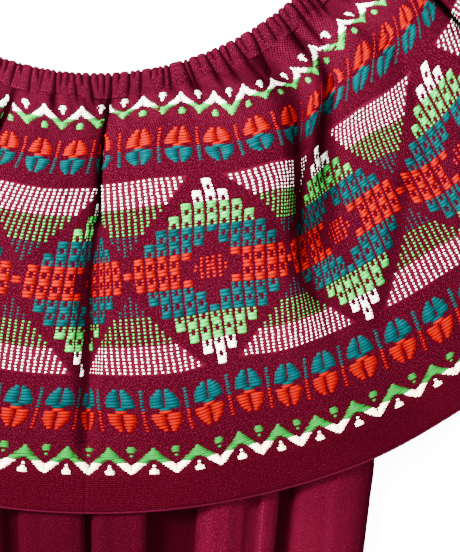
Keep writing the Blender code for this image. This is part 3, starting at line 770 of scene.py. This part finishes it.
def stitch_pads(name, surface, rows, under, material):
    """Low pads of thread that follow the cloth, one for each stitch, joined in one mesh."""
    size = len(PAD_ACROSS)
    jitter = np.random.default_rng(5).normal(size=(4, len(rows)))
    bar = rows[:, 0] + 0.006 * jitter[0]
    rise = rows[:, 1] + 0.00008 * jitter[1]
    half_bar = rows[:, 2] / 2 * (1 + 0.05 * jitter[2])
    lift = rows[:, 4] * (1 + 0.12 * np.clip(jitter[3], -2, 2))
    u = bar[:, None] + half_bar[:, None] * PAD_ACROSS
    v = rise[:, None] + rows[:, 3, None] / 2 * PAD_ALONG
    points = surface(u.ravel(), cloth_share(u.ravel(), v.ravel())).reshape(-1, size, 3)
    # Painted shade of the cloth under each stitch, which darkens its thread in the folds
    painted_shade = ruffle_plan(bar, cloth_share(bar, rise))[4]
    tone = 0.5 + 0.2 * np.clip(jitter[0], -2, 2)

    # Stitches that a fold squeezes out of sight are left out
    seen = np.linalg.norm(points[:, 5] - points[:, 3], axis=1) > 0.4 * 2 * half_bar * BAR
    rows, points, u, v = rows[seen], points[seen], u[seen], v[seen]
    lift, painted_shade, tone = lift[seen], painted_shade[seen], tone[seen]
    normal = np.cross(points[:, 5] - points[:, 3], points[:, 7] - points[:, 1])
    normal /= np.maximum(np.linalg.norm(normal, axis=1, keepdims=True), 1e-12)
    shape = np.where(rows[:, 4, None] >= FLOAT_FROM, FLOAT_LIFT, DOT_LIFT)
    faces = (np.arange(len(rows))[:, None, None] * size + PAD_FACES).reshape(-1, 4)
    if under:
        normal, faces = -normal, faces[:, ::-1]
    points = points + normal[:, None, :] * (lift[:, None] * shape)[:, :, None]

    made = new_object(name, points, faces.tolist(), material)
    lay_uv(made, np.stack((u * BAR, v), axis=-1))
    note_at_points(made, "tone", np.repeat(tone, size))
    note_at_points(made, "painted_shade", np.repeat(np.clip(painted_shade, 0, 1), size))
    return made


# The body

def body_section():
    """Corners of the line across the body's front: places and heights."""
    corners = []
    valley = BODY_VALLEY
    for left_foot, left_crest, right_crest, right_foot, rise, left_lean, right_lean, floor in BODY_FOLDS:
        corners += [
            (left_foot + left_lean, valley),
            (mix(left_foot, left_crest, 0.35), mix(valley, rise, 0.55)),
            (left_crest, mix(valley, rise, 0.93)),
            ((left_crest + right_crest) / 2, rise),
            (right_crest, mix(floor, rise, 0.93)),
            (mix(right_foot, right_crest, 0.35), mix(floor, rise, 0.55)),
            (right_foot - right_lean, floor),
        ]
        valley = floor
    return np.array(corners)


def through(corners, steps):
    """Points of a smooth curve through corners, with the same number of steps in each stretch."""
    padded = np.vstack((corners[:1], corners, corners[-1:]))
    line = []
    for number in range(len(corners) - 1):
        p0, p1, p2, p3 = padded[number:number + 4]
        for s in np.arange(steps) / steps:
            line.append(0.5 * (2 * p1 + (p2 - p0) * s + (2 * p0 - 5 * p1 + 4 * p2 - p3) * s ** 2
                               + (3 * p1 - p0 - 3 * p2 + p3) * s ** 3))
    line.append(corners[-1])
    return np.array(line)


def top_edge(across):
    """The body's top edge: along the casing, then down the armhole to the underarm."""
    side = np.where(across >= 0, 1.0, -1.0)
    share = np.abs(across)
    radius = SEAM_RADIUS + SEAM_GAP / 2
    turn = np.radians(BODY_TOP_ANGLE * np.minimum(share / ARMHOLE_START, 1.0))
    x, y = radius * np.sin(turn), -radius * np.cos(turn)
    down = np.clip((share - ARMHOLE_START) / (1 - ARMHOLE_START), 0, 1)
    x = np.where(down > 0, mix(x, BODY_WIDTH / 2, down ** 1.4), x)
    y = np.where(down > 0, mix(y, -UNDERARM_DEPTH, down ** 0.8), y)
    return side * x, y


def body_place(across, line):
    """Plan position and relief at a line of the body: 0 the top edge, 1 the first full row, 2 the hem."""
    depths, *columns = zip(*BODY_ROWS)
    depth = depths[0] + (DRESS_DEPTH - depths[0]) * max(line - 1, 0)
    half_width, bend, relief = (float(curve(depths, column, depth)) for column in columns)
    x = across * half_width
    y = mix(-depth, -np.sqrt(depth ** 2 - x * x), bend)
    if line < 1:
        top_x, top_y = top_edge(across)
        x, y, relief = mix(top_x, x, line), mix(top_y, y, line), relief * line ** 2
    return x, y, relief


def back_bed(x, y):
    """Height that the body's back lies on: the back ruffle, then the ground."""
    return mix(RUFFLE_WALL + SEAM_GAP, 0.0, smooth(*BACK_BED_ENDS, np.hypot(x, y)))


def body_lines():
    """Lines down the body, closest together where the ruffle's hem lets it show."""
    first_row = BODY_ROWS[0][0]
    seen, past = ((depth - first_row) / (DRESS_DEPTH - first_row) + 1 for depth in HEM_SHOWS)
    stretches = ((0, 1, 13), (1, seen, 9), (seen, past, 19), (past, 2, 61))
    lines = [np.linspace(start, end, steps + 1)[:-1] for start, end, steps in stretches]
    return np.concatenate((*lines, [2]))


def body_front_points(section, line):
    across = section[:, 0] / (BODY_WIDTH / 2)
    x, y, relief = body_place(across, line)
    rest = back_bed(x, y) + BODY_WALL + FRONT_BODY_CLOTH + SEAM_GAP
    height = rest + (BODY_VALLEY - 2 * BODY_WALL - SEAM_GAP) * relief
    height = height + np.maximum(0.0, (section[:, 1] - BODY_VALLEY) * relief)
    wrinkle = 0.00045 * np.sin(across * 43 + 1.5 * np.sin(y * 9)) + 0.0003 * np.sin(across * 97 + y * 14)
    height = mix(rest, height + wrinkle * relief, smooth(1.0, 0.965, np.abs(across)))
    return np.stack((x, y + CENTRE_Y, height), axis=-1)


def body_painted_shade(section):
    """Painted shade across the body: darkest in the narrow slots between its folds, and over the panels
    left of the middle.
    """
    places, heights = section.T
    middles, tops = zip(*[((fold[1] + fold[2]) / 2, fold[4]) for fold in BODY_FOLDS])
    crests = np.interp(places, middles, tops)
    # Painted shade over the panels left of the middle, as though they faced away from the light
    lean = 0.62 * (1 - smooth(0.020, 0.060, places)) * smooth(-0.16, -0.06, places)
    return np.maximum(smooth(0.10, 0.95, (crests - heights) / (crests - BODY_VALLEY)), lean)


def cloth_across(section):
    """How much cloth lies between the left side and each place of a section."""
    return np.concatenate(([0], np.cumsum(np.hypot(*np.diff(section, axis=0).T))))


def make_body_front(section, material):
    points = np.array([body_front_points(section, line) for line in body_lines()[::-1]])
    uv = np.empty(points.shape[:2] + (2,))
    uv[..., 0] = cloth_across(section)
    uv[..., 1] = points[..., 1]
    painted_shade = np.broadcast_to(body_painted_shade(section), points.shape[:2])
    return cloth_wall("body_front_cloth", points, uv, painted_shade, grid_faces(*points.shape[:2]),
                      FRONT_BODY_CLOTH, material)


def make_body_back(material):
    across = np.linspace(-1, 1, BACK_COLUMNS)
    points = []
    for line in body_lines()[::-2]:
        x, y, _ = body_place(across, line)
        crease = 0.00035 * np.clip(np.sin(across * 21) - 0.4, 0, 1)
        points.append(np.stack((x, y + CENTRE_Y, back_bed(x, y) + BODY_WALL + crease), axis=-1))
    points = np.array(points)
    return cloth_wall("body_back_cloth", points, points[..., :2], np.zeros(points.shape[:2]),
                      grid_faces(*points.shape[:2]), BODY_WALL, material)


# The casing

# One turn of the casing's section: share from the neck to the seam, share of its thickness
CASING_SECTION = (
    (0.06, 0.3), (0.16, 0.08), (0.4, 0), (0.75, 0), (0.94, 0.05), (0.97, 0.25), (0.98, 0.6), (1.04, 0.92),
    (1.07, 1), (1, 1), (0.94, 1), (0.88, 1), (0.82, 1), (0.75, 1), (0.67, 1), (0.58, 1), (0.49, 1),
    (0.4, 0.99), (0.31, 0.97), (0.23, 0.93), (0.16, 0.87), (0.1, 0.78), (0.05, 0.66), (0.02, 0.54),
    (0.02, 0.42),
)
CASING_END_WALL = 0.0012  # height of the section where an end is pressed flat
CASING_SHADE = 0.60  # how dark the painted shade of its creases is beside that of the ruffle
# Columns between one crease and the next, closest together at the creases
BETWEEN_CREASES = (0, 0.05, 0.12, 0.22, 0.35, 0.5, 0.65, 0.78, 0.88, 0.95)
CASING_FULLNESS = 1.25  # cloth in the casing for each length of its seam
CASING_CLOSES = 1.6  # each end is pressed flat over this angle


def casing_angles(radius):
    """Angles of the casing's columns at a radius; they run along the creases."""
    inner = crease_angles(radius)[0]
    stops = np.maximum.accumulate(np.concatenate(([-CASING_END], inner, [CASING_END])))
    spans = [mix(start, end, np.array(BETWEEN_CREASES)) for start, end in zip(stops, stops[1:])]
    return np.concatenate((*spans, [CASING_END]))


def make_casing(name, bed, top, seam_top, proud, material):
    """A tube of cloth, empty inside, creased on its outer side and pressed flat at its ends."""
    depth = SEAM_RADIUS - SEAM_GAP / 2 - NECK_RADIUS
    rings, painted_shade = [], []
    for share, thick in CASING_SECTION + CASING_SECTION[:1]:
        reach = NECK_RADIUS + depth * share
        angles = casing_angles(reach)
        relief, shade = gather(angles, np.full(len(angles), max(reach, NECK_RADIUS + 0.0015)))
        outer_top = mix(top, seam_top, smooth(0.55, 1.0, share))
        height = bed + (outer_top - bed) * thick + proud * relief * smooth(0.30, 0.75, thick)
        closing = smooth(CASING_END - CASING_CLOSES, CASING_END, np.abs(angles))
        height = mix(height, bed + CASING_END_WALL * thick, closing)
        scallop = relief * 0.8 * (1 - smooth(0.0, 0.30, share))
        rings.append(polar(angles, reach - scallop, np.maximum(height, bed + 0.0006 * thick)))
        # Painted shade along the creases, fading out towards the tube's underside
        painted_shade.append(CASING_SHADE * shade * smooth(0.1, 0.5, thick))
    points = np.array(rings)
    round_it = np.concatenate(([0], np.cumsum(np.linalg.norm(np.diff(points[:, 0], axis=0), axis=1))))
    arc = np.radians(casing_angles(NECK_RADIUS)) * SEAM_RADIUS * CASING_FULLNESS
    uv = np.stack(np.broadcast_arrays(arc[None, :], round_it[:, None]), axis=-1)
    made = cloth_wall(name, points, uv, np.array(painted_shade), grid_faces(*points.shape[:2]), CASING_CLOTH,
                      material)
    bm = bmesh.new()
    bm.from_mesh(made.data)
    bmesh.ops.remove_doubles(bm, verts=bm.verts, dist=0.000001)
    bm.to_mesh(made.data)
    bm.free()
    return made


# Materials

# Lit tones of each cloth, two by two, and the dark between its threads, painted shade
RUFFLE_TONES = ((0.0180, 0.00052, 0.0024), (0.0240, 0.00085, 0.0035))
# Painted light: a lighter copy of the ruffle's maroon for its top, by the casing
RUFFLE_TOP_TONES = ((0.0330, 0.00140, 0.0056), (0.0420, 0.00200, 0.0076))
# Painted light: a lighter copy of the same maroon for the casing's gathered ribs
CASING_TONES = ((0.0285, 0.00118, 0.0048), (0.0370, 0.00170, 0.0066))
BODY_TONES = ((0.0200, 0.00060, 0.0029), (0.0255, 0.00085, 0.0038))
RUFFLE_DARK = (0.0050, 0.0001, 0.0007)
BODY_DARK = (0.0120, 0.0003, 0.0018)
# Heights above the hem: the turned-up hem, the painted shade over it, the ruffle's top with painted light,
# and the low threads' painted shade
HEM_TURNED = (0.020, 0.036)
HEM_SHADED = (0.036, 0.120)
TOP_LIGHTENS = (0.246, 0.280)
THREADS_LIGHTEN = (0.050, 0.092)
# Pitches of the hem's ribs, of the strands of a thread and of the dashes of a stitch line
RIB, STRAND, DASH = 0.00136, 0.00055, 0.0028
# Tones that lie over a cloth in places; the hem's shade and the last one are painted shade
FLECK = (0.085, 0.0075, 0.0260)
WHITE_BEHIND = (0.085, 0.0035, 0.0140)
HEM_SHADE = (0.0085, 0.0002, 0.0009)
HEM_EDGE = (0.050, 0.003, 0.012)
STITCH_LINE = (0.060, 0.0060, 0.0180)
PAINTED_SHADE_TONE = (0.0035, 0.0001, 0.0005)
# Dark and light tone of each thread, and its tone in the bands by the hem, painted shade
THREAD_TONES = {
    "white": ((0.96, 0.90, 0.78), (1.0, 0.96, 0.86), (0.94, 0.74, 0.50)),
    "green": ((0.002, 0.145, 0.014), (0.005, 0.300, 0.034), (0.003, 0.085, 0.010)),
    "teal": ((0.0, 0.0105, 0.0122), (0.0, 0.0290, 0.0325), (0.0, 0.0110, 0.0125)),
    "orange": ((0.097, 0.0001, 0.0001), (0.150, 0.0001, 0.0001), (0.088, 0.0001, 0.0001)),
}


class Signal:
    """A number that varies over a surface; arithmetic on it adds Math nodes."""

    def __init__(self, paint, socket):
        self.paint = paint
        self.socket = socket

    def math(self, operation, *others):
        return self.paint.node("ShaderNodeMath", {"operation": operation}, dict(enumerate((self, *others))))

    def __add__(self, other):
        return self.math("ADD", other)

    def __sub__(self, other):
        return self.math("SUBTRACT", other)

    def __mul__(self, other):
        return self.math("MULTIPLY", other)

    def __rsub__(self, other):
        return self * -1 + other

    __radd__ = __add__
    __rmul__ = __mul__

    def sine(self):
        return self.math("SINE")

    def size(self):
        return self.math("ABSOLUTE")

    def pingpong(self, scale):
        return self.math("PINGPONG", scale)

    def between(self, low, high):
        """0 below low, 1 above high."""
        return self.paint.node("ShaderNodeMapRange", {"interpolation_type": "SMOOTHSTEP"},
                               dict(enumerate((self, low, high, 0.0, 1.0))))


class Paint:
    """A material under construction."""

    def __init__(self, name):
        self.material = bpy.data.materials.new(name)
        self.material.use_nodes = True
        self.tree = self.material.node_tree
        self.shader = self.tree.nodes["Principled BSDF"]

    def node(self, kind, settings, sockets, output=0):
        """A node with its settings, and then the values or links of its sockets; gives one output."""
        made = self.tree.nodes.new(kind)
        for key, value in settings.items():
            setattr(made, key, value)
        for socket, value in sockets.items():
            self.feed(made.inputs[socket], value)
        return Signal(self, made.outputs[output])

    def feed(self, socket, value):
        value = getattr(value, "socket", value)
        if isinstance(value, bpy.types.NodeSocket):
            self.tree.links.new(value, socket)
        else:
            socket.default_value = (*value, 1.0) if socket.type == "RGBA" else value

    def finish(self, **sockets):
        """The material, once the named sockets of its shader are fed."""
        for name, value in sockets.items():
            self.feed(self.shader.inputs[name.replace("_", " ")], value)
        return self.material

    def cloth(self):
        """Cloth coordinates in metres: both, along the weft, and along the warp."""
        uv = self.node("ShaderNodeUVMap", {"uv_map": "cloth"}, {})
        return uv, *(self.node("ShaderNodeSeparateXYZ", {}, {0: uv}, part) for part in (0, 1))

    def noted(self, name):
        """A number noted at the points of the mesh."""
        return self.node("ShaderNodeAttribute", {"attribute_name": name}, {}, output=2)

    def noise(self, vector, scale, detail):
        return self.node("ShaderNodeTexNoise", {"noise_dimensions": "3D"},
                         {"Vector": vector, "Scale": scale, "Detail": detail})

    def streaks(self, uv, weft_scale, warp_scale, detail):
        """Noise of its own scale along the weft and along the warp."""
        scale = (weft_scale, warp_scale, 1.0)
        return self.noise(self.node("ShaderNodeMapping", {}, {"Vector": uv, "Scale": scale}), 1.0, detail)

    def blend(self, share, first, second):
        return self.node("ShaderNodeMix", {"data_type": "RGBA"}, {0: share, 6: first, 7: second}, output=2)

    def bump(self, height, distance, strength):
        return self.node("ShaderNodeBump", {},
                         {"Strength": strength, "Distance": distance, "Height": height})


def weave(weft, warp, weft_pitch, warp_pitch):
    """Height of a plain weave: rounded threads that pass over and under each other."""
    over = (weft * (2 * math.pi / warp_pitch)).sine()
    row = (warp * (2 * math.pi / weft_pitch)).sine()
    return over * row * 0.5 + 0.5


def dots_behind(weft, warp, band):
    """Where the white thread of a band of triangles lies behind the cloth and shows through it."""
    base, pitch = band
    columns_aside = (weft * (1 / BAR) - 2).pingpong(2.0) * (1 / FINE)
    up = (warp - base) * (1 / (TRIANGLE_ROWS * pitch))
    within = ((1 - up) * (TRIANGLE_ROWS / 2) - columns_aside).between(-0.6, 0.2)
    white_rows = up.between(-0.02, 0.01) * (1 - up.between(0.33, 0.39))
    return within * white_rows


def cotton(name, pitches, tones, dark, contrast, flecks, hemmed=False, stitch_line=None):
    """Hand-loomed cotton: a plain weave with light flecks, and painted shade in the dips of its weave and
    in its folds and creases.

    A hemmed cloth is turned up along its lower edge, with painted shade over the hem and painted light at
    its top. A stitch line runs down the cloth where there is one.
    """
    paint = Paint(name)
    uv, weft, warp = paint.cloth()
    uneven = paint.streaks(uv, 90.0, 90.0, 2.0) * 0.0022
    slub = paint.streaks(uv, 240.0, 1300.0, 3.0)
    cloudy = paint.noise(uv, 11.0, 4.0).between(0.3, 0.7)
    fleck = paint.streaks(uv, 900.0, 1100.0, 1.0).between(0.52, 0.72)
    height = weave(weft + uneven, warp + uneven, *pitches) * 0.7 + slub * 0.5
    lit = paint.blend(cloudy, *tones)
    if hemmed:
        turned = 1 - warp.between(*HEM_TURNED)
        ribs = (warp * (math.pi / RIB)).sine().size()
        height = height * (1 - turned * 0.7) + ribs * turned * 0.8
        # Painted light: the ruffle's top takes a lighter copy of its maroon
        lit = paint.blend(warp.between(*TOP_LIGHTENS), lit, paint.blend(cloudy, *RUFFLE_TOP_TONES))
    # The weave's raised threads take the lit tones and its dips the dark one, painted shade; the slubs vary
    # it at random
    colour = paint.blend(height.between(0.62 - contrast, 0.62 + contrast), dark, lit)
    if hemmed:
        behind = dots_behind(weft, warp, LOW_TRIANGLES) + dots_behind(weft, warp, HIGH_TRIANGLES)
        colour = paint.blend(behind * 0.24, colour, WHITE_BEHIND)
    colour = paint.blend(fleck * flecks, colour, FLECK)
    if hemmed:
        # Painted shade over the turned-up hem and the low part of the ruffle
        low = 1 - warp.between(*HEM_SHADED)
        colour = paint.blend(turned * 0.35 + low * 0.3, colour, HEM_SHADE)
        colour = paint.blend((1 - warp.between(0.0006, 0.0016)) * 0.55, colour, HEM_EDGE)
    if stitch_line:
        stitch = 1 - (weft - stitch_line).size().between(0.0001, 0.0006)
        dashes = (warp * (2 * math.pi / DASH)).sine().between(-0.3, 0.3)
        colour = paint.blend(stitch * dashes * 0.40, colour, STITCH_LINE)
    # Painted shade: the cloth darkens where its mesh notes shade, in folds, creases and the body's slots
    colour = paint.blend(paint.noted("painted_shade") * 0.85, colour, PAINTED_SHADE_TONE)
    return paint.finish(Base_Color=colour, Roughness=0.9, Specular_IOR_Level=0.0,
                        Normal=paint.bump(height, 0.0005, 0.8))


def thread(name, dark, light, low):
    """Cotton thread between two tones, nearer the low one in the bands by the hem, painted shade there and
    in the folds.
    """
    paint = Paint(name)
    uv, _, warp = paint.cloth()
    strands = (warp * (math.pi / STRAND)).sine().size()
    fuzz = paint.streaks(uv, 500.0, 2600.0, 3.0)
    # Each stitch's tone and the fuzz vary it at random; painted highlights make the strands' ridges lighter
    # than their grooves
    share = paint.noted("tone") * 0.7 + fuzz * 0.5 + strands * 0.25
    lit = paint.blend(share.between(0.15, 0.95), dark, light)
    # Painted shade: the low tone in the bands by the hem
    lit = paint.blend(warp.between(*THREADS_LIGHTEN), low, lit)
    # Painted shade: the thread darkens where the cloth under it is shaded
    colour = paint.blend(paint.noted("painted_shade") * 0.9, lit, tuple(0.25 * part for part in dark))
    return paint.finish(Base_Color=colour, Roughness=0.66, Specular_IOR_Level=0.0,
                        Normal=paint.bump(strands * 0.6 + fuzz * 0.6, 0.00018, 0.5))


# The floor, the lights and the camera

WHITE = (1.0, 1.0, 1.0)
FLOOR_GLOW = 7.5
SKY_LIGHT = 7.4
# Lights: place, the point each is aimed at, size and power
LIGHTS = {
    "key": ((-2.2, 1.0, 1.6), (0.05, 0.2, 0.0), 0.8, 1050.0),
    "fill": ((1.6, -0.8, 2.2), (0.05, 0.1, 0.0), 1.6, 100.0),
}
VIEW_CENTRE = (0.0921, CENTRE_Y - 0.3430)
VIEW_HEIGHT = 0.3765  # what the picture shows from its top to its bottom
VIEW_LEVEL = 0.030  # measured at this height over the ground
CAMERA_UP = 1.80
SENSOR = 36.0


def floor_finish():
    paint = Paint("pale floor")
    grain = paint.noise(paint.node("ShaderNodeTexCoord", {}, {}, output=3), 3.0, 2.0)
    return paint.finish(Base_Color=paint.blend(grain, (0.88, 0.88, 0.88), (0.91, 0.91, 0.91)),
                        Roughness=0.9, Emission_Color=WHITE, Emission_Strength=FLOOR_GLOW)


def add_floor():
    bpy.ops.mesh.primitive_plane_add(size=14.0, location=(0.0, 0.0, -0.0005))
    floor = bpy.context.object
    floor.name = "floor"
    floor.data.materials.append(floor_finish())


def light_scene():
    world = bpy.data.worlds.new("studio")
    world.use_nodes = True
    sky = world.node_tree.nodes["Background"]
    sky.inputs["Color"].default_value = (*WHITE, 1.0)
    sky.inputs["Strength"].default_value = SKY_LIGHT
    bpy.context.scene.world = world
    for name, (place, aim, size, power) in LIGHTS.items():
        lamp = bpy.data.lights.new(name, "AREA")
        lamp.size = size
        lamp.energy = power
        made = bpy.data.objects.new(name, lamp)
        made.location = place
        made.rotation_mode = "QUATERNION"
        made.rotation_quaternion = (Vector(aim) - Vector(place)).to_track_quat("-Z", "Y")
        bpy.context.scene.collection.objects.link(made)


def add_camera():
    data = bpy.data.cameras.new("camera")
    data.sensor_width = SENSOR
    data.lens = SENSOR * (CAMERA_UP - VIEW_LEVEL) / VIEW_HEIGHT
    data.clip_start = 0.05
    camera = bpy.data.objects.new("camera", data)
    camera.location = (*VIEW_CENTRE, CAMERA_UP)
    bpy.context.scene.collection.objects.link(camera)
    bpy.context.scene.camera = camera


# Putting the dress together

# Each ruffle: side, surface, columns inside a fold, spacing of its other columns, rows near the casing
# and below, cloth
RUFFLE_GRIDS = (
    ("front", front_point, 11, 0.0022, 19, 65, FRONT_RUFFLE_CLOTH),
    ("back", back_point, 6, 0.0060, 6, 44, BACK_RUFFLE_CLOTH),
)


def make_ruffles(material, threads):
    """The cloth of both ruffles, and the stitches on each."""
    cloths = []
    for side, surface, in_fold, spacing, fine, coarse, wall in RUFFLE_GRIDS:
        columns, downs = ruffle_columns(in_fold, spacing), ruffle_rows(fine, coarse)
        points, uv, painted_shade, faces = ruffle_grid(surface, columns, downs)
        if side == "back":
            faces = [face[::-1] for face in faces]
        cloths.append(cloth_wall(f"ruffle_{side}_cloth", points, uv, painted_shade, faces, wall, material))
    rows = brocade()
    stitches = {"front": [], "back": []}
    for number, colour in enumerate(COLOURS):
        mine = rows[rows[:, 5] == number]
        for side, surface, *_ in RUFFLE_GRIDS:
            stitches[side].append(stitch_pads(f"{colour}_stitches_{side}", surface, mine, side == "back",
                                              threads[colour]))
    return *cloths, stitches


def main():
    section = through(body_section(), SECTION_STEPS)
    stitch_line = float(cloth_across(section)[np.abs(section[:, 0] - STITCH_LINE_ACROSS).argmin()])
    ruffle_look = cotton("brocaded cotton", (0.0024, 0.0020), RUFFLE_TONES, RUFFLE_DARK, 0.32, 0.32,
                         hemmed=True)
    casing_look = cotton("gathered cotton", (0.0024, 0.0020), CASING_TONES, RUFFLE_DARK, 0.38, 0.56)
    body_look = cotton("plain cotton", (0.0016, 0.0016), BODY_TONES, BODY_DARK, 0.45, 0.22,
                       stitch_line=stitch_line)
    threads = {name: thread(f"{name} thread", *tones) for name, tones in THREAD_TONES.items()}

    front, back, stitches = make_ruffles(ruffle_look, threads)
    body_front = make_body_front(section, body_look)
    body_back = make_body_back(body_look)
    casing_front = make_casing("casing_front_cloth", FRONT_CASING_BED, FRONT_CASING_TOP + CASING_PROUD,
                               RUFFLE_SEAM_HEIGHT, 1.0, casing_look)
    casing_back = make_casing("casing_back_cloth", 0.0, BACK_CASING_TOP, BACK_CASING_TOP, 0.5, casing_look)

    for piece, node in ((front, "ruffle_front"), (back, "ruffle_back"), (body_front, "body_front"),
                        (body_back, "body_back"), (casing_front, "casing_front"),
                        (casing_back, "casing_back")):
        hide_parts(node)

    add_floor()
    light_scene()
    add_camera()


main()
